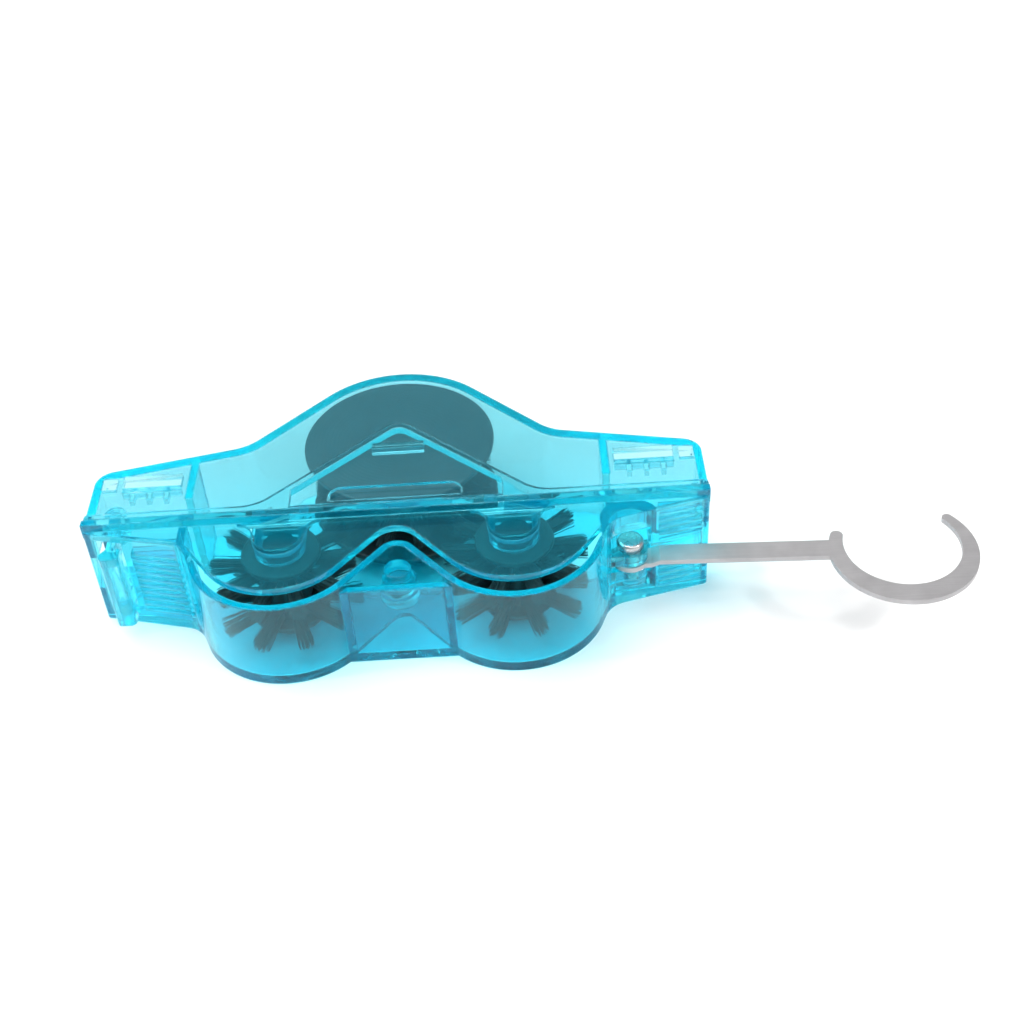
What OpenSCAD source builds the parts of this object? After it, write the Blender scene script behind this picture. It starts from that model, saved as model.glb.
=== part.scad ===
// Bicycle chain cleaner: a clear blue two-part housing that closes round the lower run of a
// chain, one large wheel brush in the tank, two small brushes in the lid, a snap latch, and a
// flat steel arm with a hook that holds the tool against the derailleur.
// It lies on its back. X runs along the chain, the tank is on the +Y side and the lid on the
// -Y side, and Z runs from the flat back (0) up to the raised front rim. The modules count Y
// from the split, and the finished part from the middle of the housing's width.

/* [Housing] */
// Length along the chain
body_len = 150; // [140:1:170]
// Height of the main front faces above the back
face_h = 28.3; // [27.6:0.1:32]
// Height of the rim that stands proud beside the split
rim_h = 2.1; // [1:0.1:3]
// Moulded wall thickness
wall = 1.8; // [1.4:0.1:2.2]
// Gap between tank and lid at the split
parting_gap = 0.2; // [0.1:0.05:0.4]

/* [Tank] */
// Width of the tank at each end
tank_end_w = 19.4; // [17:0.1:24]
// Slope of the tank's ends, degrees
tank_taper = 12; // [8:1:16]
// Slope of the hump round the large wheel, degrees
hump_slope = 45; // [40:1:48]
// Outer corner radius of the tank's ends
tank_corner_r = 5; // [3:0.5:6]
// Radius of the shoulder between hump and end
shoulder_r = 12; // [6:1:16]
// Width of the rim on the tank side of the split
tank_rim_w = 3; // [2:0.1:4]
// Height of the raised peak on the tank's face, measured from the split
peak_y = 33.6; // [28:0.1:36]
// Slope of the raised peak, degrees
peak_slope = 42; // [36:1:46]

/* [Lid] */
// Width of the lid at each end
lid_end_w = 2.4; // [2.2:0.1:4]
// Slope of the lid's ends, degrees
lid_taper = 14; // [10:1:16]
// Where an end block meets a lobe, as a share of the length along the chain
lobe_join_share = 0.3373; // [0.334:0.0001:0.345]
// Slope of the valley between the lobes, degrees
valley_slope = 50; // [46:1:54]
// Distance from the front face down to where the open slit begins
slit_drop = 3.8; // [3.3:0.1:6]
// Distance that the front face stands back from the lobes' wall
face_setback = 2.8; // [2:0.1:4]
// Distance of the web between the lobes from the split
web_y = 22.5; // [20:0.1:24]
// Distance from the front face down to the web between the lobes
web_drop = 5.3; // [4.3:0.1:10]
// Width of the rim on the lid side of the split
lid_rim_w = 2.2; // [2:0.1:3]

/* [Large wheel] */
// Radius of the large wheel's discs, as a share of the length along the chain
wheel_r_share = 0.16; // [0.14:0.001:0.166]
// Distance of the wheel's axle from the split, as a share of the length along the chain
wheel_y_share = 0.1873; // [0.175:0.0001:0.2]
// Thickness of each disc
wheel_disc_t = 1.6; // [1.2:0.1:2.4]
// Height of the rear disc above the back
wheel_bottom = 6.2; // [5.8:0.1:9]
// Radius of the wheel's core
wheel_core_r = 9; // [7:0.1:12]
// Radius of the wheel's axle
axle_r = 2.5; // [1.5:0.1:3]

/* [Lid brushes] */
// Distance of each lid brush from the middle, as a share of the length along the chain
brush_x_share = 0.186; // [0.18:0.001:0.2]
// Distance of the lid brushes' axes from the split
brush_y = 6.6; // [6:0.1:8]
// Radius over the bristle tips, as a share of the length along the chain
brush_r_share = 0.1173; // [0.1:0.0001:0.12]
// Radius of the brush's end discs
brush_disc_r = 9.5; // [8:0.1:11]
// Thickness of the brush's end discs
brush_disc_t = 1.5; // [1:0.1:2]
// Radius of the brush's core
brush_core_r = 6; // [5:0.1:7]
// Radius of the stub shafts that turn in the lid's saddles
stub_r = 3.9; // [3:0.1:4.2]
// Height of the rear disc above the back
brush_bottom = 4.9; // [4:0.1:6]
// Distance of the front disc behind the front face
brush_drop = 6.2; // [5.8:0.1:9]

/* [Bristles] */
// Radius of one bristle strand
strand_r = 0.42; // [0.3:0.01:0.45]
// Number of tufts round a lid brush
brush_tufts = 10; // [8:1:12]
// Number of tufts round the large wheel
wheel_tufts = 14; // [10:1:16]
// Number of strands in a lid brush's tuft
brush_strands = 7; // [5:1:8]
// Number of strands in the large wheel's tuft
wheel_strands = 6; // [4:1:7]

/* [Hook arm] */
// Distance of the hook screw from the split
screw_y = 7.2; // [6.8:0.1:7.6]
// Length of the arm from the screw to the hook
arm_len = 47.3; // [40:0.1:60]
// Width of the arm
arm_w = 5.6; // [5:0.1:6.4]
// Thickness of the steel strip
arm_t = 1.3; // [1:0.1:1.5]
// Step between the arm's eye and its straight run
arm_joggle = 0.9; // [0.5:0.1:1]
// Rest angle of the arm below the X axis, degrees
arm_rest = 2.5; // [0:0.5:4]
// Radius of the arm's eye
eye_r = 4.4; // [4:0.1:4.6]
// Outer radius of the hook
hook_r = 17.6; // [14:0.1:22]
// Width of the hook at its lowest point
hook_w = 5.4; // [4:0.1:6]
// Width that the hook has lost a quarter turn away
hook_fade = 1.8; // [0:0.1:2]
// Distance of the hook's centre below the arm's middle
hook_drop = 1; // [0:0.1:2]
// Radius of the hook screw's head
screw_head_r = 3.2; // [2.6:0.1:3.6]
// Height of the hook screw's head
screw_head_h = 2.2; // [1.6:0.1:2.6]
// Radius of the hook screw's shank
screw_r = 1.5; // [1.2:0.1:1.8]

/* [Chain way] */
// Width of the slots that the chain runs through
chain_w = 10; // [9:0.1:11]
// Depth of those slots above the split
chain_h = 9.5; // [8:0.1:10]

/* [Latch] */
// Distance of the latch from the housing's end
latch_inset = 6.6; // [6:0.1:7.4]
// Distance of the latch's pivot above the split
latch_pivot_y = 5.2; // [4.6:0.1:6]
// Thickness of the latch's legs
latch_t = 2.2; // [1.8:0.1:2.6]
// Distance that the thumb bar reaches below the split
latch_reach = 9.2; // [8.6:0.1:11]
// Turn that frees the latch, degrees
latch_turn = 6; // [4:1:7]

/* [Fits] */
// Gap between pieces that face each other
gap = 0.3; // [0.25:0.05:0.35]
// Radial clearance of a shaft that turns in a bore
run_fit = 0.1; // [0.05:0.01:0.12]

/* [Hidden] */
$fn = 96;

over = 1;            // overrun of a cut past the surface it opens
arc_step = 4;        // degrees between the points of a rounded corner
half_len = body_len / 2;
floor_middle = 13;   // distance of the housing's middle from the split
rim_top = face_h + rim_h;
face_under = face_h - wall;
ledge_h = face_h - slit_drop;
web_h = face_h - web_drop;
lobe_join_x = body_len * lobe_join_share;
divider_back = 0.4;
divider_x = lobe_join_x - divider_back;  // wall between the fluid space and an end block
mid_z = face_h / 2;  // middle plane of the chain
blue = [0.25, 0.78, 0.90, 0.55];
black = [0.09, 0.10, 0.11];
steel = [0.72, 0.72, 0.74];

// Large wheel, from the back upwards
wheel_top = face_under - gap;
wheel_r = body_len * wheel_r_share;
wheel_y = body_len * wheel_y_share;
wheel_gap = 0.6;     // between the discs and the tank's wall
hump_r = wheel_r + wheel_gap + wall;
disc_edge_r = 0.5;   // rounding of a disc's rim
axle_boss_r = 4.5;
bristle_base = 0.9;  // thickness of the slice that the strands stand in
strand_step = 0.4;   // distance between neighbouring strands where they leave the slice
strand_rise = 1.4;   // every second strand stands this much higher
tuft_fan = 1.9;      // degrees between neighbouring strands
tip_inset = 1;       // distance of the bristle tips inside the discs' rims
wheel_tip_r = wheel_r - tip_inset;

// Lid brushes
lobe_gap = 2.4;      // between the bristle tips and the lobe's wall
brush_x = body_len * brush_x_share;
brush_r = body_len * brush_r_share;
lobe_r = brush_r + lobe_gap + wall;
brush_top = face_h - brush_drop;
saddle_room = 0.5;   // room round a stub shaft in its saddle
saddle_r = stub_r + saddle_room;
saddle_wall = 1.7;
cover_t = 1.2;       // plate over the front end of each brush
cover_z = face_under - gap - cover_t;
stub_front = cover_z - gap;
keeper_h = 1.6;
keeper_fit = 0.05;
notch_step = 0.7;    // ledge round the saddle where it meets the face
notch_r = saddle_r + notch_step;
mouth_r = 4;         // rounding at the mouth of a saddle's notch
mouth_flare = 1.6;   // widening of the notch towards its mouth
mouth_half = notch_r + mouth_flare;
mouth_w = 12;        // half width of the cut above the mouth

// Corners and details of the lid
join_r = 7;
valley_r = 3;
lid_corner_r = 1;
post_r = 4.6;        // lowest ring of the stack behind the web
post_step = 0.7;
post_rise = 2.8;
post_sink = 0.8;     // depth that the lowest ring sinks into the valley's walls
post_drop = 2;       // distance of the stack's top below the web's top
post_top = web_h - post_drop;
block_lap = 2.2;     // overlap of an end block with the lobe beside it
block_x = lobe_join_x - block_lap;
rib_w = 0.9;         // grip ribs on the end blocks
rib_rise = 0.5;
rib_pitch = 2.1;
grip_edge = 3;       // distance of the grip ribs from the edges of their wall
grip_left_z = [grip_edge + wall, face_h - 2 * grip_edge];
grip_low_z = [grip_edge, mid_z - grip_edge];
grip_high_z = [mid_z + grip_edge + rib_w, face_h - grip_edge];

rim_step = 1.2;      // width of the step round the raised panel's edge
rim_step_h = 1;      // height of that step

// Windows in the tank's end blocks
window_start = 3.2;  // distance of the long window from the divider
window_stop = 7;     // distance of the long window from the tank's end
corner_window_w = 3.6;
window_x = [divider_x + window_start, half_len - window_stop];
window_y = [13.6, 18.0];
corner_window_edge = 2;
corner_window_x = [half_len - corner_window_edge - corner_window_w, half_len - corner_window_edge];
corner_window_y = [13.2, 17.4];
tooth_w = 1.2;
tooth_h = 2.6;
tooth_pitch_share = 0.288;
tooth_start_share = 0.2;
tooth_pitch = (window_x[1] - window_x[0]) * tooth_pitch_share;
tooth_start = (window_x[1] - window_x[0]) * tooth_start_share;
tooth_drop = 2;
bar_w = 0.8;

// Recesses of the tank's face
tab_half = 16;       // shallow finger recess beside the split
tab_h = 6.6;
tab_r = 3;
tab_depth = 0.6;
stop_half = 6.5;     // short bar under the raised peak
stop_y = 22;
stop_w = 2;
stop_drop = 2.2;

// Hook screw's clevis on the lid, from the back upwards
lug_r = 4.2;
lug_front = 3.8;     // distance from the screw to the straight front edge of the lugs
pocket_room = 0.9;   // room round the arm's eye in its pocket
pocket_r = eye_r + pocket_room;
screw_x = divider_x + pocket_r;
lug_drop = 5.35;     // distance of the lower lug's underside below the chain's middle
eye_drop = 0.45;     // distance of the eye's underside below the chain's middle
lug_low = mid_z - lug_drop;
eye_z = mid_z - eye_drop;
lug_gap_top = eye_z + arm_t + gap;
lug_t = 3.2;
lug_top = lug_gap_top + lug_t;
arm_z = eye_z + arm_joggle;
tip_cover = 1;       // plastic left under the screw's tip
screw_tip = lug_low + tip_cover;
head_crown = 0.8;    // rounding of the screw's head
head_room = 2.4;
pocket_top = lug_top + screw_head_h + head_room;
slot_run = 12.5;     // length of the arm's slot past the screw
slot_side = 0.7;     // room on each side of the arm in its slot
slot_room = 0.8;     // room above and below the arm in its slot
joggle_gap = 0.6;    // distance from the eye to the step
joggle_start = eye_r + joggle_gap;
joggle_run = 2;
hook_start = 160;    // direction of the hook's rounded root end, degrees
hook_end = 401;      // direction of the hook's tip, degrees
hook_in_r = hook_r - hook_w + hook_fade;

// Latch and the tongues at the other end
latch_bar_w = 4.8;
latch_round = 1.4;
latch_fillet = 0.6;
latch_x = half_len - latch_inset;
latch_low = 3.3;
latch_drop = 3.1;    // distance of the latch's top below the face
latch_high = face_h - latch_drop;
leg_h = mid_z - chain_w / 2 - 2 * gap - latch_low;
trunnion_r = 1.2;
trunnion_boss_r = 2.5;
trunnion_boss_h = 1.2;
latch_slot_x = [latch_x - latch_bar_w / 2 - gap,
    latch_x + latch_bar_w / 2 + (latch_reach + latch_pivot_y) * sin(latch_turn) + gap];
tongue_t = 1.6;
tongue_h = 4.6;
nub_reach = 1.2;
nub_y = [1.6, 3.6];
nub_window_y = [0.6, 4.2];
tongue_low = 3.2;
tongue_side = 1.75;  // distance of a tongue from the chain's slot
tongue_z = [tongue_low, mid_z - chain_w / 2 - tongue_side];

// Vectors and rounded outlines

// Direction of an angle
function dir(a) = [cos(a), sin(a)];

// Point where the line through p along angle a meets the line through q along angle b
function meet(p, a, q, b) = p + dir(a) * cross(q - p, dir(b)) / cross(dir(a), dir(b));

// Vector brought to unit length
function unit(v) = v / norm(v);

// Vector turned a quarter turn to the left
function left_of(v) = [-v[1], v[0]];

// Points of the arc that rounds corner p1 between p0 and p2 to radius r
function corner_arc(p0, p1, p2, r) =
    let (
        u = unit(p0 - p1),
        v = unit(p2 - p1),
        half = acos(u * v) / 2,
        centre = p1 + unit(u + v) * r / sin(half),
        s = p1 + u * r / tan(half) - centre,
        e = p1 + v * r / tan(half) - centre,
        a0 = atan2(s[1], s[0]),
        turn = (atan2(e[1], e[0]) - a0 + 540) % 360 - 180,
        n = max(2, ceil(abs(turn) / arc_step))
    )
    [for (i = [0:n]) centre + dir(a0 + turn * i / n) * r];

// Outline of corners [point, radius], each rounded to its radius
function rounded(c) =
    let (n = len(c))
    [for (i = [0:n - 1])
        each c[i][1] == 0 ? [c[i][0]]
            : corner_arc(c[(i + n - 1) % n][0], c[i][0], c[(i + 1) % n][0], c[i][1])];

// The same corners moved inwards by d; the corners run anticlockwise
function inset(c, d) =
    let (n = len(c))
    [for (i = [0:n - 1])
        let (
            p = c[i][0],
            e1 = unit(p - c[(i + n - 1) % n][0]),
            e2 = unit(c[(i + 1) % n][0] - p),
            n1 = left_of(e1),
            n2 = left_of(e2),
            r = c[i][1]
        )
        [p + (n1 + n2) * d / (1 + n1 * n2),
            r == 0 ? 0 : cross(e1, e2) > 0 ? max(r - d, d / 10) : r + d]];

// Corners of a half outline, the middle corner and the mirrored half
function both_halves(half, middle) =
    concat(half, [middle],
        [for (i = [len(half) - 1:-1:0]) [[-half[i][0][0], half[i][0][1]], half[i][1]]]);

// An outline whose first and last corners are moved to height y, so that it opens at the split
function open_at(c, y) =
    let (n = len(c))
    [for (i = [0:n - 1]) i == 0 || i == n - 1 ? [[c[i][0][0], y], 0] : c[i]];

// Tank outline: straight end, tapered end block, shoulder and hump
hump_apex = [0, wheel_y + hump_r / cos(hump_slope)];
shoulder = meet([half_len, tank_end_w], 180 - tank_taper, hump_apex, -hump_slope);
tank_corners = both_halves(
    [[[half_len, 0], 0], [[half_len, tank_end_w], tank_corner_r], [shoulder, shoulder_r]],
    [hump_apex, hump_r]);

// Raised panel of the tank: a rim along the split that climbs to a rounded peak
peak_foot = meet([0, peak_y], -peak_slope, [0, tank_rim_w], 0);
peak_corners = both_halves(
    [[[half_len, 0], 0], [[half_len, tank_rim_w], lid_corner_r], [peak_foot, 2 * tank_corner_r]],
    [[0, peak_y], tank_corner_r]);

// Lid outline with lobes of radius r whose walls meet the end blocks at x = join
function lid_corners(r, join, valley, y0) =
    let (
        knee = [-join, -lid_end_w - (half_len - join) * tan(lid_taper)],
        centre = [-brush_x, -brush_y],
        to_centre = centre - knee,
        fall = atan2(to_centre[1], to_centre[0]) - asin(r / norm(to_centre)),
        apex = [0, -brush_y + (brush_x * sin(valley_slope) - r) / cos(valley_slope)],
        foot = meet(knee, fall, apex, 180 + valley_slope)
    )
    both_halves(
        [[[-half_len, y0], 0], [[-half_len, -lid_end_w], lid_corner_r], [knee, join_r], [foot, r]],
        [apex, valley]);

lid_outer = lid_corners(lobe_r, lobe_join_x, valley_r, -parting_gap);
lid_face = lid_corners(lobe_r - face_setback, lobe_join_x - 1, valley_r + face_setback, -parting_gap);
valley_apex_y = brush_y - (brush_x * sin(valley_slope) - lobe_r) / cos(valley_slope);

// Plain helpers

// Everything on the left and on the right
module both_sides() {
    children();
    mirror([1, 0, 0]) children();
}

// Extrusion of a flat shape between two heights
module slab(z0, z1) {
    translate([0, 0, z0]) linear_extrude(z1 - z0) children();
}

// Box between two corners
module box(a, b) {
    translate(a) cube(b - a);
}

// Round bar between two heights
module bar(r, z0, z1) {
    translate([0, 0, z0]) cylinder(r = r, h = z1 - z0);
}

// Flat disc with a rounded rim
module disc(r, t) {
    rotate_extrude() {
        translate([0, disc_edge_r]) square([r, t - 2 * disc_edge_r]);
        square([r - disc_edge_r, t]);
        for (z = [disc_edge_r, t - disc_edge_r])
            translate([r - disc_edge_r, z]) circle(r = disc_edge_r, $fn = 24);
    }
}

// Tank

// Slot of the chain through the wall of one end, open at the split
module chain_slot() {
    box([half_len - 2 * wall, -over, mid_z - chain_w / 2],
        [half_len + over, chain_h, mid_z + chain_w / 2]);
}

// Comb of short teeth under the long window
module window_comb() {
    bar_y = window_y[0] - bar_w;
    box([window_x[0], bar_y, face_under - tooth_drop], [window_x[1], window_y[0], face_h]);
    for (i = [0:2])
        translate([window_x[0] + tooth_start + tooth_pitch * i, bar_y - tooth_h, 0])
            box([0, 0, face_under - tooth_drop], [tooth_w, tooth_h, face_h]);
}

// Flat shape of the space under the raised peak
module peak_space() {
    reach = peak_foot[0] - 2 * tank_corner_r + wall;
    apex = peak_y - wall / cos(peak_slope);
    rise = apex - wall - reach * tan(peak_slope);
    polygon(rounded([
        [[-reach, wall], 0], [[reach, wall], 0], [[reach, wall + rise], 0],
        [[0, apex], tank_corner_r - wall], [[-reach, wall + rise], 0]]));
}

// Ring on a plate that a trunnion of the latch turns in
module trunnion_boss(z0) {
    translate([-latch_x, latch_pivot_y, 0])
        difference() {
            bar(trunnion_boss_r, z0, z0 + trunnion_boss_h);
            bar(trunnion_r + run_fit, z0 - over, z0 + trunnion_boss_h + over);
        }
}

module tank_walls() {
    difference() {
        union() {
            slab(0, face_h) polygon(rounded(tank_corners));
            slab(face_under, rim_top - rim_step_h) polygon(rounded(peak_corners));
            slab(face_under, rim_top) intersection() {
                polygon(rounded(open_at(inset(peak_corners, rim_step), 0)));
                translate([-half_len, 0]) square([body_len, peak_y]);
            }
        }
        difference() {
            slab(wall, face_under) polygon(rounded(open_at(inset(tank_corners, wall), -over)));
            both_sides()
                box([divider_x, chain_h, 0], [divider_x + wall, tank_end_w * 2, face_h]);
            both_sides() window_comb();
        }
        slab(face_under - over, rim_top - wall) peak_space();
        translate([0, 0, rim_top - tab_depth])
            linear_extrude(over) polygon(rounded([
                [[-tab_half, wall], 0], [[tab_half, wall], 0],
                [[tab_half, tab_h], tab_r], [[-tab_half, tab_h], tab_r]]));
    }
}

module tank_shell() {
    color(blue) {
        difference() {
            union() {
                tank_walls();
                translate([0, wheel_y, 0]) bar(axle_boss_r, wall, wheel_bottom - gap);
                box([-stop_half, stop_y, rim_top - wall - stop_drop],
                    [stop_half, stop_y + stop_w, rim_top]);
            }
            translate([0, wheel_y, 0]) bar(axle_r + keeper_fit, -over, wheel_bottom);
            both_sides() chain_slot();
            both_sides() box([window_x[0], window_y[0], face_under - over],
                [window_x[1], window_y[1], face_h + over]);
            both_sides() box([corner_window_x[0], corner_window_y[0], face_under - over],
                [corner_window_x[1], corner_window_y[1], face_h + over]);
            for (m = [0, 1])
                translate([0, 0, m * face_h]) mirror([0, 0, m])
                    box([half_len - wall - over, nub_window_y[0], tongue_z[0] - gap],
                        [half_len + over, nub_window_y[1], tongue_z[1] + gap]);
        }
        trunnion_boss(wall);
        trunnion_boss(face_under - trunnion_boss_h);
    }
}

// Large wheel

module wheel_axle() {
    color(steel) translate([0, wheel_y, 0])
        bar(axle_r, gap, wheel_top - wheel_disc_t - gap);
}

module wheel_front_disc() {
    color(black) translate([0, wheel_y, wheel_top - wheel_disc_t]) disc(wheel_r, wheel_disc_t);
}

module wheel_rear_disc() {
    color(black) translate([0, wheel_y, wheel_bottom])
        difference() {
            disc(wheel_r, wheel_disc_t);
            bar(axle_r + run_fit, -over, wheel_disc_t + over);
        }
}

module wheel_core() {
    color(black) translate([0, wheel_y, 0])
        difference() {
            bar(wheel_core_r, wheel_bottom + wheel_disc_t, wheel_top - wheel_disc_t);
            bar(axle_r + run_fit, 0, face_h);
        }
}

// Tufts in two rows on a slice of the core: each strand leans a little away from its neighbour
module tufts(r0, r1, z0, z1, tufts, strands) {
    rise = (z1 - z0) / 4;
    reach = r1 - r0 + bristle_base / 2;
    foot = strand_step / r0 * 180 / PI;
    difference() {
        bar(r0, z0, z1);
        bar(r0 - bristle_base, z0 - over, z1 + over);
    }
    for (row = [0, 1], t = [0:tufts - 1], s = [0:strands - 1]) {
        k = s - (strands - 1) / 2;
        a = 360 / tufts * t + k * foot;
        up = (s % 2 - 1 / 2) * strand_rise;
        rotate([0, 0, a])
            translate([r0 - bristle_base / 2, 0, z0 + rise * (1 + 2 * row) + up])
                rotate([0, 90, k * (tuft_fan - foot)])
                    cylinder(r = strand_r, h = reach, $fn = 3);
    }
}

module wheel_bristles() {
    color(black) translate([0, wheel_y, 0])
        tufts(wheel_core_r + bristle_base, wheel_tip_r, wheel_bottom + wheel_disc_t,
            wheel_top - wheel_disc_t, wheel_tufts, wheel_strands);
}

// Lid brushes, at the side of the middle given by s

module brush_front_disc(s) {
    color(black) translate([s * brush_x, -brush_y, 0]) {
        translate([0, 0, brush_top - brush_disc_t]) disc(brush_disc_r, brush_disc_t);
        bar(stub_r, brush_top - disc_edge_r, stub_front);
    }
}

module brush_rear_disc(s) {
    color(black) translate([s * brush_x, -brush_y, 0]) {
        translate([0, 0, brush_bottom]) disc(brush_disc_r, brush_disc_t);
        bar(stub_r, wall + gap, brush_bottom + disc_edge_r);
    }
}

module brush_core(s) {
    color(black) translate([s * brush_x, -brush_y, 0])
        bar(brush_core_r, brush_bottom + brush_disc_t, brush_top - brush_disc_t);
}

module brush_bristles(s) {
    color(black) translate([s * brush_x, -brush_y, 0])
        tufts(brush_core_r + bristle_base, brush_r, brush_bottom + brush_disc_t,
            brush_top - brush_disc_t, brush_tufts, brush_strands);
}

// Small bar that keeps a stub shaft in its saddle, and the plate that fills the face's notch
module front_keeper(s) {
    keeper(s, brush_top + gap, cover_z + cover_t);
    color(blue) translate([s * brush_x, 0, 0])
        slab(cover_z, cover_z + cover_t) notch_shape(gap, mouth_half, -parting_gap - gap);
}

// Small bar that keeps a stub shaft in its saddle
module keeper(s, z0, z1) {
    top = -parting_gap - gap;
    half = saddle_r - keeper_fit;
    color(blue) translate([s * brush_x, 0, 0])
        box([-half, top - keeper_h, z0], [half, top, z1]);
}

// Lid

// Flat shape of a saddle's notch moved inwards by d, up to a half width and a height
module notch_shape(d, half, y) {
    foot = -brush_y - notch_r;
    flare = [[[-mouth_w, over], 0], [[-mouth_w, -lid_rim_w], 0],
        [[-mouth_half, -lid_rim_w], mouth_r], [[-notch_r, foot], notch_r - keeper_fit]];
    mirrored = [for (i = [3:-1:0]) [[-flare[i][0][0], flare[i][0][1]], flare[i][1]]];
    intersection() {
        polygon(rounded(inset(concat(flare, mirrored), d)));
        translate([-half, y - web_y]) square([2 * half, web_y]);
    }
}

// U-shaped wall that a stub shaft turns in, and its opening
module saddle(z0, z1) {
    translate([brush_x, 0, 0])
        slab(z0, z1) {
            translate([0, -brush_y]) circle(r = saddle_r + saddle_wall);
            translate([-saddle_r - saddle_wall, -brush_y])
                square([2 * (saddle_r + saddle_wall), brush_y - parting_gap]);
        }
}

module saddle_opening(z0, z1) {
    translate([brush_x, 0, 0])
        slab(z0, z1) {
            translate([0, -brush_y]) circle(r = saddle_r);
            translate([-saddle_r, -brush_y]) square([2 * saddle_r, brush_y + over]);
        }
}

// Stack of rings in the pocket between the lobes, against the valley's walls
module pocket_post() {
    depth = (post_r - post_sink) / cos(valley_slope);
    translate([0, -valley_apex_y - depth, 0])
        for (i = [0:2])
            translate([0, 0, post_top - (3 - i) * post_rise]) bar(post_r - i * post_step, 0, post_rise);
}

// Grip ribs on the sloping wall of one end block, between two heights
module grip_ribs(x0, x1, span) {
    for (z = [span[0]:rib_pitch:span[1]])
        slab(z, z + rib_w)
            intersection() {
                polygon([for (p = rounded(lid_outer)) p - [0, rib_rise]]);
                translate([x0, -web_y]) square([x1 - x0, web_y]);
            }
}

// Half the width of the hook in a direction
function hook_half_w(a) = (hook_r - hook_fade * sin(a)
    - sqrt(pow(hook_in_r, 2) - pow(hook_fade * cos(a), 2))) / 2;

// Flat shape of a lug: an ear round the hook screw, carried by the lobe and the block
module lug_shape() {
    translate([screw_x, -screw_y]) circle(r = lug_r);
    translate([block_x, -screw_y - lug_front])
        square([screw_x - block_x, lug_front + pocket_r]);
    translate([screw_x - lug_r, -screw_y]) square([2 * lug_r, pocket_r]);
}

// Room for the arm in its rest position and for its eye
module arm_room() {
    translate([screw_x, -screw_y, 0])
        rotate([0, 0, -arm_rest])
            box([0, -pocket_r, eye_z - slot_room],
                [slot_run, arm_w / 2 + slot_side, arm_z + arm_t + slot_room]);
}

module lid_walls() {
    difference() {
        union() {
            slab(0, wall) {
                polygon(rounded(lid_outer));
                translate([-brush_x / 2, -web_y]) square([brush_x, web_y - valley_apex_y]);
            }
            slab(0, ledge_h) polygon(rounded(lid_outer));
            slab(0, face_h)
                intersection() {
                    polygon(rounded(lid_outer));
                    both_sides() translate([block_x, -web_y]) square([half_len, web_y]);
                }
            slab(face_under, face_h) polygon(rounded(lid_face));
            box([-half_len, -lid_rim_w, face_under], [half_len, -parting_gap, rim_top]);
            slab(0, web_h) translate([-brush_x / 2, -web_y]) square([brush_x, wall]);
            both_sides() saddle(brush_top + gap, face_h);
        }
        difference() {
            slab(wall, face_under) polygon(rounded(open_at(inset(lid_outer, wall), over)));
            both_sides() box([divider_x, -web_y, 0], [divider_x + wall, -parting_gap, face_h]);
            both_sides() saddle(0, brush_bottom - gap);
            both_sides() saddle(brush_top + gap, face_h);
            slab(0, face_h) translate([screw_x, -screw_y]) circle(r = pocket_r + wall);
            box([screw_x, -screw_y, eye_z - 2 * wall],
                [screw_x + slot_run, -lid_end_w, arm_z + arm_t + 2 * wall]);
        }
    }
}

module lid_shell() {
    color(blue) {
        difference() {
            lid_walls();
            both_sides() saddle_opening(wall, brush_bottom);
            both_sides() saddle_opening(brush_top, face_under);
            both_sides() translate([brush_x, 0, 0]) {
                slab(stub_front, face_under) notch_shape(0, mouth_w, over);
                slab(face_under - over, face_h + over) notch_shape(0, mouth_w, -lid_rim_w);
            }
            translate([screw_x, -screw_y, 0]) bar(pocket_r, lug_low, pocket_top);
            arm_room();
            box([-latch_slot_x[1], -web_y, latch_low - gap], [-latch_slot_x[0], over, face_under]);
        }
        intersection() {
            difference() {
                union() {
                    slab(lug_low, eye_z - gap) lug_shape();
                    slab(lug_gap_top, lug_top) lug_shape();
                }
                translate([screw_x, -screw_y, 0])
                    bar(screw_r + run_fit, screw_tip - gap, lug_top + over);
                slab(0, face_h) polygon(rounded(open_at(inset(lid_outer, wall / 2), over)));
            }
        }
        pocket_post();
        grip_ribs(-latch_slot_x[0] + wall, -divider_x - wall, grip_left_z);
        grip_ribs(screw_x + pocket_r + wall, half_len - wall, grip_low_z);
        grip_ribs(screw_x + pocket_r + wall, half_len - wall, grip_high_z);
        for (m = [0, 1])
            translate([0, 0, m * face_h]) mirror([0, 0, m]) tongue();
    }
}

// Tongue with a nub that hooks into the tank's end wall
module tongue() {
    x1 = half_len - wall - gap;
    box([x1 - tongue_t, -lid_end_w, tongue_z[0]], [x1, tongue_h, tongue_z[1]]);
    box([x1 - tongue_t, nub_y[0], tongue_z[0]], [x1 + nub_reach, nub_y[1], tongue_z[1]]);
}

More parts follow.
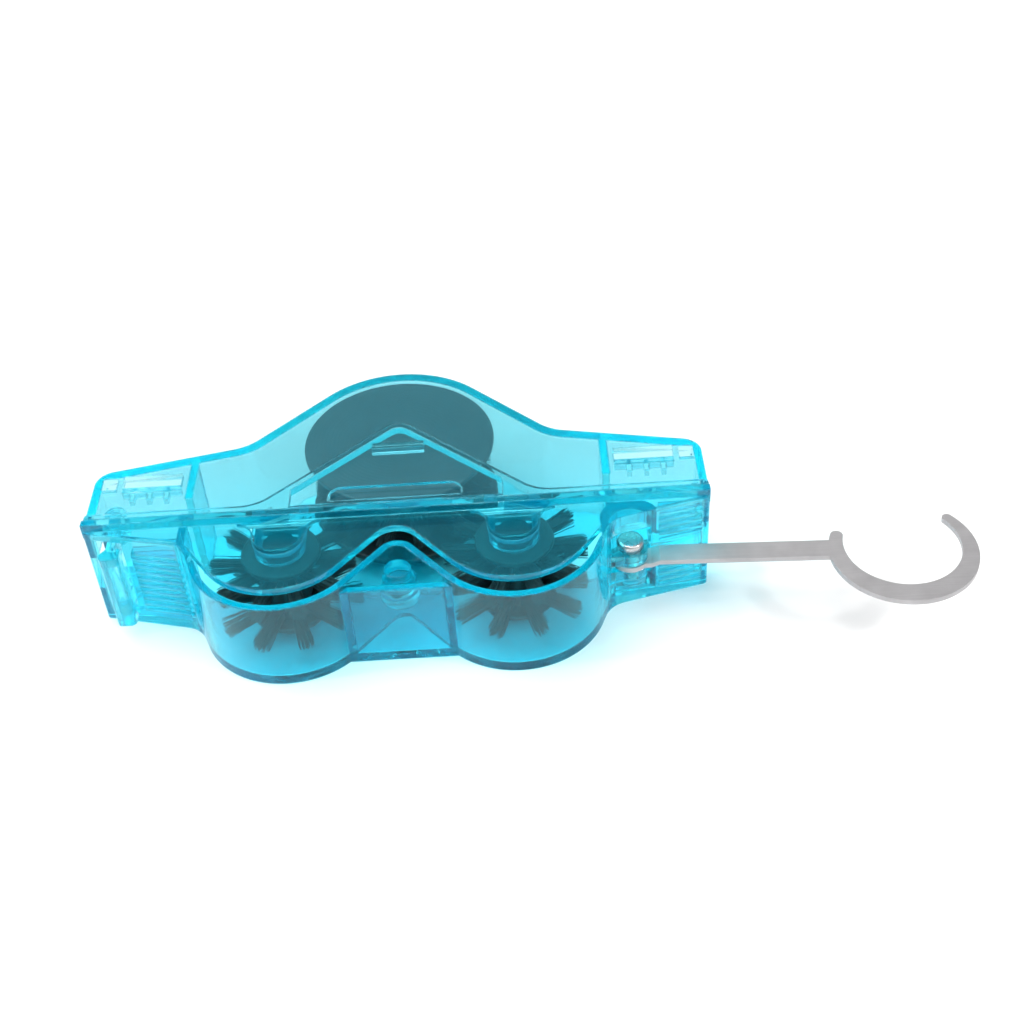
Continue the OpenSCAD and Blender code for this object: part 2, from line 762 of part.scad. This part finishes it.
// Latch: two legs joined by a ribbed thumb bar, so that the chain can pass between them
module latch_lever() {
    color(blue) {
        translate([-latch_x, 0, 0]) {
            for (z = [[latch_low, latch_low + leg_h], [latch_high - leg_h, latch_high]]) {
                translate([0, latch_pivot_y, 0]) bar(trunnion_boss_r, z[0], z[1]);
                box([-latch_t / 2, -latch_reach / 2, z[0]], [latch_t / 2, latch_pivot_y, z[1]]);
            }
            translate([0, latch_pivot_y, 0]) bar(trunnion_r, wall + gap, latch_low + over);
            translate([0, latch_pivot_y, 0]) bar(trunnion_r, latch_high - over, face_under - gap);
            slab(latch_low, latch_high)
                polygon(rounded([
                    [[-latch_t / 2, -latch_reach / 2 + latch_round], 0],
                    [[-latch_t / 2, -latch_reach / 2 - latch_fillet], latch_round],
                    [[-latch_bar_w / 2, -latch_reach + latch_bar_w / 2], latch_fillet],
                    [[-latch_bar_w / 2, -latch_reach], latch_round],
                    [[latch_bar_w / 2, -latch_reach], latch_round],
                    [[latch_bar_w / 2, -latch_reach / 2 - latch_fillet], latch_fillet],
                    [[latch_t / 2, -latch_reach / 2 - latch_fillet], latch_fillet / 2],
                    [[latch_t / 2, -latch_reach / 2 + latch_round], 0]]));
        }
    }
}

// Hook arm and its screw

// Flat shape of the hook: a strip that narrows towards the tip, with round ends
module hook_shape() {
    difference() {
        circle(r = hook_r);
        translate([0, hook_fade]) circle(r = hook_in_r);
        polygon([[0, 0], for (a = [hook_end - 360:arc_step:hook_start]) dir(a) * 2 * hook_r,
            dir(hook_start) * 2 * hook_r]);
    }
    for (a = [hook_start, hook_end])
        translate(dir(a) * (hook_r - hook_half_w(a))) circle(r = hook_half_w(a));
}

module arm_outline() {
    circle(r = eye_r);
    translate([0, -arm_w / 2]) square([arm_len + hook_w / 2, arm_w]);
    translate([arm_len + hook_r, -hook_drop]) hook_shape();
}

// Side view of the strip: the eye lies one step below the straight run
module arm_profile() {
    far = arm_len + 2 * hook_r;
    polygon([
        [-eye_r, 0], [joggle_start, 0], [joggle_start + joggle_run, arm_joggle],
        [far, arm_joggle], [far, arm_joggle + arm_t],
        [joggle_start + joggle_run, arm_joggle + arm_t], [joggle_start, arm_t], [-eye_r, arm_t]]);
}

module hook_arm() {
    color(steel) translate([screw_x, -screw_y, eye_z]) rotate([0, 0, -arm_rest])
        difference() {
            intersection() {
                translate([0, 0, -over]) linear_extrude(arm_t + arm_joggle + 2 * over) arm_outline();
                translate([0, 2 * hook_r, 0]) rotate([90, 0, 0])
                    linear_extrude(4 * hook_r) arm_profile();
            }
            bar(screw_r + run_fit, -over, arm_t + over);
        }
}

module hook_screw() {
    color(steel) translate([screw_x, -screw_y, 0]) {
        bar(screw_r, screw_tip, lug_top + head_crown);
        translate([0, 0, lug_top]) rotate_extrude() {
            square([screw_head_r, screw_head_h - head_crown]);
            square([screw_head_r - head_crown, screw_head_h]);
            translate([screw_head_r - head_crown, screw_head_h - head_crown])
                circle(r = head_crown, $fn = 24);
        }
    }
}

// Sets the origin on the tank's floor, in the middle of the housing's width
module placed() translate([0, -floor_middle, 0]) children();

placed() tank_shell();
placed() wheel_axle();
placed() wheel_front_disc();
placed() wheel_rear_disc();
placed() wheel_core();
placed() wheel_bristles();
placed() lid_shell();
placed() latch_lever();
placed() brush_front_disc(-1);  // left_front_disc
placed() brush_rear_disc(-1);  // left_rear_disc
placed() brush_core(-1);  // left_core
placed() brush_bristles(-1);  // left_bristles
placed() brush_front_disc(1);  // right_front_disc
placed() brush_rear_disc(1);  // right_rear_disc
placed() brush_core(1);  // right_core
placed() brush_bristles(1);  // right_bristles
placed() front_keeper(-1);  // left_front_keeper
placed() keeper(-1, wall, brush_bottom - gap);  // left_rear_keeper
placed() front_keeper(1);  // right_front_keeper
placed() keeper(1, wall, brush_bottom - gap);  // right_rear_keeper
placed() hook_arm();
placed() hook_screw();
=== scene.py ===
# %% [markdown]
# # A bicycle chain cleaner, dressed for its picture
# The tool is a clear blue moulded housing that closes round a bicycle chain. One large wheel
# brush and two small brushes turn inside it, and a flat steel hook on an arm holds it against
# the derailleur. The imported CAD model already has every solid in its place, so this lesson
# starts from it and adds what CAD leaves out: materials, real bristles, light and a camera.

# %% Load the frame
import math

import bpy
import numpy as np
from mathutils import Matrix, Vector


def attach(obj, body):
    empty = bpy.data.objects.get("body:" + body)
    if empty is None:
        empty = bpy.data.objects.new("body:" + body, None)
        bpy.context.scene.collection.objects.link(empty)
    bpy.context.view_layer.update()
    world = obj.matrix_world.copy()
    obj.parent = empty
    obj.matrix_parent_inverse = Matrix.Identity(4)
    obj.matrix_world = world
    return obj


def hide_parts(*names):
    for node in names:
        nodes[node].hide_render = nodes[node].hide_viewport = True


MM = 0.001
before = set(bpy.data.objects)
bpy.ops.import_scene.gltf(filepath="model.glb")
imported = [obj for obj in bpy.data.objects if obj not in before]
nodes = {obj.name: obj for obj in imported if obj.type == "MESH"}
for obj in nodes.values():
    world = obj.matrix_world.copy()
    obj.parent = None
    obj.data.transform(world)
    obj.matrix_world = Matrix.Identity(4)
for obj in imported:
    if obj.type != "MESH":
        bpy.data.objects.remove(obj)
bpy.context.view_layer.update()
print("CAD nodes:", len(nodes))

# %% [markdown]
# ## A short way to write materials
# A Blender material is a net of nodes joined by links. Written out in full it takes many lines,
# so these helpers add a node with its settings in one call. Values that are the same all over a
# surface go straight onto the shader's own socket, because an export keeps those best.

# %% Helpers for materials
OWN_PLACE = "Object"  # patterns are placed by the object's own coordinates


def new_material(name):
    """An empty material with its output. Returns the material and its node tree."""
    material = bpy.data.materials.new(name)
    material.use_nodes = True
    material.node_tree.nodes.clear()
    return material, material.node_tree


def add(tree, kind, inputs=None, **settings):
    """A node of that kind. inputs are sockets by name or number, each a value or another socket."""
    node = tree.nodes.new("ShaderNode" + kind)
    for key, value in settings.items():
        setattr(node, key, value)
    for key, value in (inputs or {}).items():
        if isinstance(value, bpy.types.NodeSocket):
            tree.links.new(value, node.inputs[key])
        else:
            node.inputs[key].default_value = value
    return node


def pattern_place(tree, scale=(1, 1, 1), turn=(0, 0, 0), centre=(0, 0, 0)):
    """Object coordinates that are moved to a centre, turned and stretched, for a pattern."""
    spot = add(tree, "TexCoord").outputs[OWN_PLACE]
    moved = add(tree, "Mapping", {0: spot, "Location": [-c for c in centre]}).outputs[0]
    return add(tree, "Mapping", {0: moved, "Rotation": turn, "Scale": scale}).outputs[0]


def noise(tree, place, scale, detail=2.0, rough=0.5):
    """Fractal noise between 0 and 1, with that many lumps to a metre."""
    settings = {"Vector": place, "Scale": scale, "Detail": detail, "Roughness": rough}
    return add(tree, "TexNoise", settings).outputs[0]


def between(tree, value, low, high, to_low, to_high):
    """A value rescaled from low..high to to_low..to_high and held inside them."""
    settings = {0: value, 1: low, 2: high, 3: to_low, 4: to_high}
    return add(tree, "MapRange", settings).outputs[0]


def bumps(tree, height, distance, strength=1.0, normal=None):
    """A normal that leans as a surface of that height in metres would."""
    inputs = {"Height": height, "Distance": distance, "Strength": strength}
    if normal is not None:
        inputs["Normal"] = normal
    return add(tree, "Bump", inputs).outputs[0]


def paint(material, *names):
    """Gives CAD nodes one material all over."""
    for name in names:
        slots = nodes[name].data.materials
        slots.clear()
        slots.append(material)
    print(material.name, "is on:", ", ".join(names))


# %% [markdown]
# ## Curved walls without facets
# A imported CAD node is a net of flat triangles, so a curved wall would show stripes where light
# bends through it. Real moulded walls are smooth. Shading them smooth all over would smear the
# sharp corners too. A small geometry net does both: it joins the loose triangles, keeps every
# edge that folds by more than 20 degrees sharp, and smooths the rest.

# %% Smooth curved walls
FOLD = math.radians(20)
TOUCH = 0.001 * MM  # corners this near are one corner


def smoothing_net():
    """Joins touching corners and shades smooth, but for edges that fold by more than FOLD."""
    net = bpy.data.node_groups.new("smooth_curves", "GeometryNodeTree")
    net.interface.new_socket("Geometry", in_out="INPUT", socket_type="NodeSocketGeometry")
    net.interface.new_socket("Geometry", in_out="OUTPUT", socket_type="NodeSocketGeometry")
    start, end = net.nodes.new("NodeGroupInput"), net.nodes.new("NodeGroupOutput")
    join = net.nodes.new("GeometryNodeMergeByDistance")
    join.inputs["Distance"].default_value = TOUCH
    angle = net.nodes.new("GeometryNodeInputMeshEdgeAngle")
    folded = net.nodes.new("FunctionNodeCompare")
    folded.inputs[1].default_value = FOLD
    faces = net.nodes.new("GeometryNodeSetShadeSmooth")
    sharp = net.nodes.new("GeometryNodeSetShadeSmooth")
    sharp.domain = "EDGE"
    sharp.inputs["Shade Smooth"].default_value = False
    net.links.new(start.outputs[0], join.inputs[0])
    net.links.new(join.outputs[0], faces.inputs[0])
    net.links.new(faces.outputs[0], sharp.inputs[0])
    net.links.new(angle.outputs[0], folded.inputs[0])
    net.links.new(folded.outputs[0], sharp.inputs["Selection"])
    net.links.new(sharp.outputs[0], end.inputs[0])
    return net


smooth_curves = smoothing_net()
for node in nodes.values():
    node.modifiers.new("smooth_curves", "NODES").node_group = smooth_curves
print("smoothed nodes:", len(nodes))

# %% [markdown]
# ## The clear blue plastic
# The housing is moulded in tinted clear plastic about 2 mm thick. It could be faked with an
# alpha value, but then the walls would not bend light and their edges would not darken. Here
# the walls are real closed solids, so a refracting shader works: light is bent and tinted once
# on the way in and once on the way out, and walls in a row give the strong blue of the picture.
# Light that runs lengthwise inside a wall fades more, which draws the edges darker. A little
# diffuse milk in the mix is the glow of the dye over the black parts. Lamps can't shine through
# refracting glass in a path tracer, so for shadow rays the shader turns into a tinted
# transparent one. The lid has the deeper tint of the two halves.

# %% Clear blue plastic
TANK_SKIN = (0.63, 0.885, 0.925)  # what the two surfaces of a wall let through
LID_SKIN = (0.29, 0.78, 0.845)
TANK_DEPTH = (0.84, 0.98, 0.985)  # what the thickness WALL of the plastic itself lets through
LID_DEPTH = (0.76, 0.972, 0.98)
MILK_TINT = (0.0, 0.66, 0.95)  # the faint glow of the dye, seen best over black
MILK_SHARE = 0.035
WALL = 1.8 * MM
EDGE_R = 0.6 * MM  # the edges are shaded as if rounded this much
WAVE_H, WAVES = 0.2 * MM, 160  # height of the flow waves, and how many go to a metre
GRAINS = 1400  # to a metre
POLISH = 0.03  # roughness of the moulded walls


def clear_plastic(name, skin, depth):
    """Refracting plastic whose surface carries faint flow waves and a soft bevel on its edges.
    Light that runs a distance d inside it keeps depth ** (d / WALL)."""
    material, tree = new_material(name)
    place = pattern_place(tree)
    waves = noise(tree, place, WAVES, 2.0)
    grain = noise(tree, place, GRAINS, 1.0)
    edges = add(tree, "Bevel", {"Radius": EDGE_R}, samples=4).outputs[0]
    normal = bumps(tree, waves, WAVE_H, 0.35, edges)
    shader = add(tree, "BsdfPrincipled", {
        "Base Color": (*skin, 1), "IOR": 1.49, "Transmission Weight": 1.0,
        "Roughness": between(tree, grain, 0.3, 0.8, POLISH * 0.6, POLISH * 1.5),
        "Normal": normal})
    milk = add(tree, "BsdfDiffuse", {"Color": (*MILK_TINT, 1), "Normal": normal})
    body = add(tree, "MixShader", {0: MILK_SHARE, 1: shader.outputs[0], 2: milk.outputs[0]})
    once = [math.sqrt(c) for c in skin]
    pass_light = add(tree, "BsdfTransparent", {"Color": (*once, 1)})
    ray = add(tree, "LightPath")
    mixed = add(tree, "MixShader", {
        0: ray.outputs["Is Shadow Ray"], 1: body.outputs[0], 2: pass_light.outputs[0]})
    fade = [-math.log(c) / WALL for c in depth]
    density = max(fade)
    kept = [1 - f / density for f in fade]
    inside = add(tree, "VolumeAbsorption", {"Color": (*kept, 1), "Density": density})
    add(tree, "OutputMaterial", {"Surface": mixed.outputs[0], "Volume": inside.outputs[0]})
    return material


keepers = [f"{side}_{end}_keeper" for side in ("left", "right") for end in ("front", "rear")]
paint(clear_plastic("tank_plastic", TANK_SKIN, TANK_DEPTH), "tank_shell", "latch_lever")
paint(clear_plastic("lid_plastic", LID_SKIN, LID_DEPTH), "lid_shell", *keepers)

# %% [markdown]
# ## Black plastic of the brushes
# The discs and cores are moulded in black plastic with a soft shine. Black is never quite
# black: a dark grey with fine grain in its roughness catches the light the way the real one
# does, and faint rings round each axle are left by the turned mould. Where the axles stand is
# measured on the frame: a core is a plain cylinder, so the middle of its box is on its axis.

# %% Where the three cores stand
def core_of(brush):
    """A core's axis as X and Y, its radius, and its span on Z: the middle, the half width and
    both ends of the box round all its corners."""
    mesh = nodes[f"{brush}_core"].data
    spots = np.empty(3 * len(mesh.vertices), np.float32)
    mesh.vertices.foreach_get("co", spots)
    low, high = spots.reshape(-1, 3).min(0), spots.reshape(-1, 3).max(0)
    axis = (low + high)[:2].astype(float) / 2
    return axis, float(high[1] - low[1]) / 2, (float(low[2]), float(high[2]))


CORES = {brush: core_of(brush) for brush in ("wheel", "left", "right")}
for brush, (axis, core_r, span) in CORES.items():
    print(brush, "axis, mm:", np.round(axis / MM, 2), "radius, mm:", round(core_r / MM, 2),
          "span, mm:", np.round(np.array(span) / MM, 2))

# %% Black moulded plastic
RING_H, GRAIN_H = 0.03 * MM, 0.02 * MM


def black_plastic(name, axis):
    """Dark grey plastic with rings of 1.1 mm pitch round the axis and a fine moulded grain."""
    material, tree = new_material(name)
    place = pattern_place(tree, centre=(*axis, 0))
    rings = add(tree, "TexWave", {
        "Vector": place, "Scale": 290.0, "Distortion": 0.6, "Detail": 1.0},
        wave_type="RINGS", rings_direction="Z").outputs[1]
    grain = noise(tree, place, 5200, 2.0)
    cloud = noise(tree, place, 190, 3.0)
    colour = add(tree, "ValToRGB", {0: cloud})
    colour.color_ramp.elements[0].color = (0.012, 0.014, 0.016, 1)
    colour.color_ramp.elements[1].color = (0.028, 0.031, 0.034, 1)
    normal = bumps(tree, rings, RING_H, 0.5, bumps(tree, grain, GRAIN_H, 0.6))
    shader = add(tree, "BsdfPrincipled", {
        "Base Color": colour.outputs[0], "IOR": 1.5,
        "Roughness": between(tree, cloud, 0.3, 0.7, 0.3, 0.46), "Normal": normal})
    add(tree, "OutputMaterial", {"Surface": shader.outputs[0]})
    return material


for brush in CORES:
    plastic = black_plastic(f"{brush}_plastic", CORES[brush][0])
    paint(plastic, f"{brush}_front_disc", f"{brush}_rear_disc", f"{brush}_core")

# %% [markdown]
# ## The steel strip and its screw
# The arm is stamped from stainless strip, so it carries fine lines along its length. An image
# of brushed metal would need a file and would show its repeats, so noise that is stretched
# nearly sixty times one way draws the lines here. They follow the arm's own direction, which
# lies 2.5 degrees below the X axis. The finish is rough, so the strip stays grey from most
# sides. The screw and the axle are bright plated.

# %% Steel
ARM_TURN = math.radians(2.5)
LINE_H, MARK_H = 0.02 * MM, 0.01 * MM
STRIP_EDGE_R = 0.2 * MM


def strip_steel(name):
    """Satin steel: long lines along the arm, soft cloudy stains, and edges that catch light."""
    material, tree = new_material(name)
    along = pattern_place(tree, scale=(45, 2600, 2600), turn=(0, 0, ARM_TURN))
    lines = noise(tree, along, 1.0, 3.0, 0.6)
    stains = noise(tree, pattern_place(tree), 130, 3.0, 0.6)
    colour = add(tree, "ValToRGB", {0: stains})
    colour.color_ramp.elements[0].position = 0.3
    colour.color_ramp.elements[0].color = (0.54, 0.53, 0.54, 1)
    colour.color_ramp.elements[1].position = 0.75
    colour.color_ramp.elements[1].color = (0.63, 0.62, 0.63, 1)
    edges = add(tree, "Bevel", {"Radius": STRIP_EDGE_R}, samples=4).outputs[0]
    shader = add(tree, "BsdfPrincipled", {
        "Base Color": colour.outputs[0], "Metallic": 1.0,
        "Roughness": between(tree, lines, 0.25, 0.75, 0.58, 0.72),
        "Normal": bumps(tree, lines, LINE_H, 0.5, edges)})
    add(tree, "OutputMaterial", {"Surface": shader.outputs[0]})
    return material


def plated_steel(name):
    """Bright plating with small handling marks."""
    material, tree = new_material(name)
    marks = noise(tree, pattern_place(tree), 900, 4.0, 0.7)
    shader = add(tree, "BsdfPrincipled", {
        "Base Color": (0.58, 0.59, 0.60, 1), "Metallic": 1.0,
        "Roughness": between(tree, marks, 0.35, 0.75, 0.24, 0.4),
        "Normal": bumps(tree, marks, MARK_H, 0.4)})
    add(tree, "OutputMaterial", {"Surface": shader.outputs[0]})
    return material


paint(strip_steel("stamped_steel"), "hook_arm")
paint(plated_steel("plated_steel"), "hook_screw", "wheel_axle")

# %% [markdown]
# ## Bristles
# Each brush is a core with tufts of nylon bristle. The CAD model has a few thick strands in
# each tuft. Here every tuft gets about a hundred thin ones. Blender's hair system could grow
# them, but plain mesh strands export anywhere. All the strands of a brush are worked out at
# once as one array: a strand starts in its tuft's hole, fans out sideways, and bows a little in
# its middle. The two rows of a small brush stand near its discs, so light falls between the
# tufts. The tips are painted greyer than the roots as a painted sheen, for the light that the
# tips catch. The material reads this off the distance from the axis.

# %% Bristle strands
SIDES = 3
STRAND_R = 0.12 * MM
NARROWING = 0.35  # share of its radius that a strand loses towards its tip
HOLE = 1.3 * MM  # half width of the square patch that a tuft grows from
STRAY = 0.1 * MM  # how far a tip strays sideways
UNEVEN = 0.1  # share of their length by which strands differ
LIFT = 0.62  # share of its row's half height that a tuft spreads to
BOW = 0.25 * MM  # how far a strand's middle bows
END_ROOM = 0.2 * MM  # between the tips and the discs


def strand_mesh(roots, tips, sag, radius, rings=5):
    """Vertices and faces of bent strands. A strand's middle line at t from 0 to 1 is
    root + t (tip - root) + sag t (1 - t), and a ring of three corners goes round it at each
    step. It narrows by the share NARROWING towards its tip, and both its ends are closed."""
    t = np.linspace(0, 1, rings)[None, :, None]
    line = roots[:, None] + t * (tips - roots)[:, None] + (t * (1 - t)) * sag[:, None]
    along = tips - roots
    along /= np.linalg.norm(along, axis=1)[:, None]
    side = np.cross(along, (0.0, 0.0, 1.0))
    side /= np.linalg.norm(side, axis=1)[:, None]
    other = np.cross(along, side)
    turn = np.arange(SIDES) * 2 * math.pi / SIDES
    ring = (side[:, None, None] * np.cos(turn)[None, None, :, None]
            + other[:, None, None] * np.sin(turn)[None, None, :, None])
    narrow = (radius * (1 - NARROWING * t))[..., None]
    verts = (line[:, :, None] + narrow * ring).reshape(-1, 3)
    first = (np.arange(len(roots)) * rings * SIDES)[:, None, None]
    step = (np.arange(rings - 1) * SIDES)[None, :, None]
    k = np.arange(SIDES)[None, None, :]
    low, high = first + step + k, first + step + (k + 1) % SIDES
    quads = np.stack([low, high, high + SIDES, low + SIDES], -1).reshape(-1, 4)
    ends = np.arange(len(roots)) * rings * SIDES
    start = ends[:, None] + np.array([2, 1, 0])
    stop = ends[:, None] + (rings - 1) * SIDES + np.array([0, 1, 2])
    return verts, quads.tolist() + start.tolist() + stop.tolist()


def brush_strands(axis, root_r, tip_r, z0, z1, tufts, per_tuft, fan, row_at, seed):
    """Strands of one brush. Two rows of tufts stand round the axis, one above the other, each
    at the share row_at of the core's length from its own end. A strand's root is scattered over
    the patch HOLE. Its tip is the root's scatter widened to the fan's half width, at a length
    that varies by the share UNEVEN."""
    rng = np.random.default_rng(seed)
    row, tuft = np.divmod(np.arange(2 * tufts).repeat(per_tuft), tufts)
    count = len(row)
    angle = 2 * math.pi / tufts * tuft
    mid_z = z0 + (z1 - z0) * (row_at + (1 - 2 * row_at) * row)
    across, up = rng.uniform(-1, 1, (2, count))
    out = np.stack([np.cos(angle), np.sin(angle), 0 * angle], 1)
    sideways = np.stack([-np.sin(angle), np.cos(angle), 0 * angle], 1)
    centre = np.array([*axis, 0.0]) + np.outer(mid_z, (0, 0, 1))
    roots = centre + out * root_r + sideways * (across * HOLE)[:, None]
    roots[:, 2] += up * HOLE
    length = tip_r - rng.random(count) ** 2 * UNEVEN * (tip_r - root_r)
    wide = across * fan + rng.normal(0, STRAY, count)
    tall = up * (z1 - z0) / 4 * LIFT
    reach = np.sqrt(np.maximum(length ** 2 - wide ** 2, 0))
    tips = centre + out * reach[:, None] + sideways * wide[:, None]
    tips[:, 2] += tall
    tips[:, 2] = np.clip(tips[:, 2], z0 + END_ROOM, z1 - END_ROOM)
    sag = rng.normal(0, BOW, (count, 3)) * (1, 1, 0.3)
    return roots, tips, sag


def bristle_material(name, axis, root_r, tip_r):
    """Black nylon, with painted sheen: lighter grey towards the tips, by distance from the axis."""
    material, tree = new_material(name)
    place = pattern_place(tree, scale=(1, 1, 0), centre=(*axis, 0))
    out = add(tree, "VectorMath", {0: place}, operation="LENGTH").outputs["Value"]
    # painted sheen: the grey grows towards the tips, standing in for the light that the tips catch
    tip_sheen = between(tree, out, root_r, tip_r, 0.0, 1.0)
    shade = noise(tree, pattern_place(tree), 1500, 1.0)
    patchy_tip_sheen = add(tree, "Math", {0: tip_sheen, 1: shade}, operation="MULTIPLY").outputs[0]
    colour = add(tree, "ValToRGB", {0: patchy_tip_sheen})
    colour.color_ramp.elements[0].color = (0.012, 0.013, 0.015, 1)
    colour.color_ramp.elements[1].position = 0.7
    colour.color_ramp.elements[1].color = (0.034, 0.042, 0.047, 1)
    shader = add(tree, "BsdfPrincipled", {
        "Base Color": colour.outputs[0], "IOR": 1.53,
        "Roughness": between(tree, shade, 0.3, 0.7, 0.3, 0.45)})
    add(tree, "OutputMaterial", {"Surface": shader.outputs[0]})
    return material


ROOT_SINK = 0.1 * MM  # a strand starts this deep inside the core


def bristle_piece(brush, body, tip_r, tufts, per_tuft, fan, row_at, seed):
    """One mesh of all a brush's strands, in place of the CAD model's."""
    name = f"{brush}_tufts"
    axis, core_r, span = CORES[brush]
    root_r = core_r - ROOT_SINK
    strands = brush_strands(axis, root_r, tip_r, *span, tufts, per_tuft, fan, row_at, seed)
    verts, faces = strand_mesh(*strands, STRAND_R)
    mesh = bpy.data.meshes.new(name)
    mesh.from_pydata(verts.tolist(), [], faces)
    mesh.materials.append(bristle_material(name + "_nylon", axis, root_r, tip_r))
    piece = bpy.data.objects.new(name, mesh)
    bpy.context.scene.collection.objects.link(piece)
    mesh.shade_smooth()
    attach(piece, body)
    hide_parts(f"{brush}_bristles")
    print(name, "strands:", len(strands[0]), "faces:", len(faces))


WHEEL_TIP_R, BRUSH_TIP_R = 22.9 * MM, 17.5 * MM
WHEEL_TUFTS, BRUSH_TUFTS = 14, 10  # in a row
WHEEL_STRANDS, BRUSH_STRANDS = 90, 110  # in a tuft
WHEEL_FAN, BRUSH_FAN = 2.1 * MM, 1.8 * MM
WHEEL_ROW_AT, BRUSH_ROW_AT = 0.25, 0.15
bristle_piece("wheel", "large_wheel", WHEEL_TIP_R, WHEEL_TUFTS, WHEEL_STRANDS, WHEEL_FAN,
              WHEEL_ROW_AT, seed=1)
for number, side in enumerate(("left", "right")):
    bristle_piece(side, f"{side}_brush", BRUSH_TIP_R, BRUSH_TUFTS, BRUSH_STRANDS, BRUSH_FAN,
                  BRUSH_ROW_AT, seed=7 + number)

# %% [markdown]
# ## Floor, world and lamps
# The object lies on white paper. A grey world lights it evenly from all sides, and two far
# lamps with a wide spread add the rest, so that the paper comes out white all over. A white
# world would do without lamps, but its mirror image on the flat plastic faces would wash out
# the blue and the black behind them. So the world is white only where it is seen straight on or
# through the plastic, and dim in mirrors. Three small square lamps give the crisp glints that
# the picture has on its rims and rounded edges.

# %% White paper
FLOOR, FLOOR_DROP = 3.0, 0.2 * MM  # half its width, and its room below the object
floor_mesh = bpy.data.meshes.new("floor")
floor_mesh.from_pydata(
    [(-FLOOR, -FLOOR, 0), (FLOOR, -FLOOR, 0), (FLOOR, FLOOR, 0), (-FLOOR, FLOOR, 0)],
    [], [(0, 1, 2, 3)])
floor_mesh.transform(Matrix.Translation((0, 0, -FLOOR_DROP)))
floor = bpy.data.objects.new("floor", floor_mesh)
bpy.context.scene.collection.objects.link(floor)
white, tree = new_material("floor_white")
paper = add(tree, "BsdfDiffuse", {"Color": (0.98, 0.98, 0.98, 1)})
add(tree, "OutputMaterial", {"Surface": paper.outputs[0]})
floor_mesh.materials.append(white)
print("paper, m:", 2 * FLOOR, "square")

# %% World
world = bpy.data.worlds.new("studio")
bpy.context.scene.world = world
world.use_nodes = True
tree = world.node_tree
tree.nodes.clear()
height = add(tree, "SeparateXYZ", {0: add(tree, "TexCoord").outputs["Generated"]}).outputs[2]
glow = between(tree, height, 0.15, 0.6, 0.42, 0.2)
ray = add(tree, "LightPath")
in_mirror = between(tree, ray.outputs["Is Glossy Ray"], 0, 1, 1.0, 0.6)
dimmed = add(tree, "Math", {0: glow, 1: in_mirror}, operation="MULTIPLY").outputs[0]
sky = add(tree, "Background", {"Color": (1, 1, 1, 1), "Strength": dimmed})
bare = add(tree, "Background", {"Color": (1, 1, 1, 1), "Strength": 1.0})
seen = add(tree, "Math", {
    0: ray.outputs["Is Camera Ray"], 1: ray.outputs["Is Transmission Ray"]}, operation="MAXIMUM")
both = add(tree, "MixShader", {0: seen.outputs[0], 1: sky.outputs[0], 2: bare.outputs[0]})
add(tree, "OutputWorld", {"Surface": both.outputs[0]})
print("world nodes:", len(tree.nodes))

# %% Lamps
OBJECT_MIDDLE = (0.02, 0, 0.015)


def soft_sun(name, turn, spread, strength):
    """A far lamp that is as wide as spread degrees of sky, tipped by turn degrees on X and Y."""
    lamp = bpy.data.lights.new(name, "SUN")
    lamp.angle, lamp.energy = math.radians(spread), strength
    item = bpy.data.objects.new(name, lamp)
    bpy.context.scene.collection.objects.link(item)
    item.rotation_euler = [math.radians(turn[0]), math.radians(turn[1]), 0]


def soft_box(name, place, size, watts):
    """A square lamp at a place, turned to face the object. It shows as a bright patch in gloss."""
    lamp = bpy.data.lights.new(name, "AREA")
    lamp.shape, lamp.size, lamp.energy = "SQUARE", size, watts
    item = bpy.data.objects.new(name, lamp)
    bpy.context.scene.collection.objects.link(item)
    item.location = place
    way = Vector(OBJECT_MIDDLE) - Vector(place)
    item.rotation_euler = way.to_track_quat("-Z", "Y").to_euler()


soft_sun("key_lamp", (-12, -22), 50, 1.95)
soft_sun("fill_lamp", (30, 30), 60, 1.05)
soft_box("left_box", (-0.55, -0.1, 0.45), 0.05, 0.9)
soft_box("right_box", (0.55, -0.2, 0.4), 0.05, 0.8)
soft_box("front_box", (0.0, -0.42, 0.55), 0.05, 0.3)
print("lamps:", [lamp.name for lamp in bpy.data.lights])

# %% [markdown]
# ## The camera
# The picture was taken from about 0.39 m away, 41 degrees above the table, with the camera
# rolled by four degrees. The lens is a normal one of 53 mm. These numbers were fitted to
# corners of the housing, so the render lies over the picture.

# %% Camera
lens = bpy.data.cameras.new("camera")
lens.sensor_width, lens.lens = 36, 53.13
lens.clip_start = 0.01
camera = bpy.data.objects.new("camera", lens)
bpy.context.scene.collection.objects.link(camera)
camera.location = (0.031614, -0.286498, 0.263578)
camera.rotation_euler = [math.radians(a) for a in (48.8442, 2.9384, -1.7455)]
bpy.context.scene.camera = camera
bpy.context.scene.view_settings.view_transform = "Standard"
cycles = bpy.context.scene.cycles
cycles.max_bounces = cycles.glossy_bounces = 32  # light crosses many clear walls
cycles.transmission_bounces = cycles.transparent_max_bounces = 24
print("camera to the middle of the frame, m:", round(camera.location.length, 3))
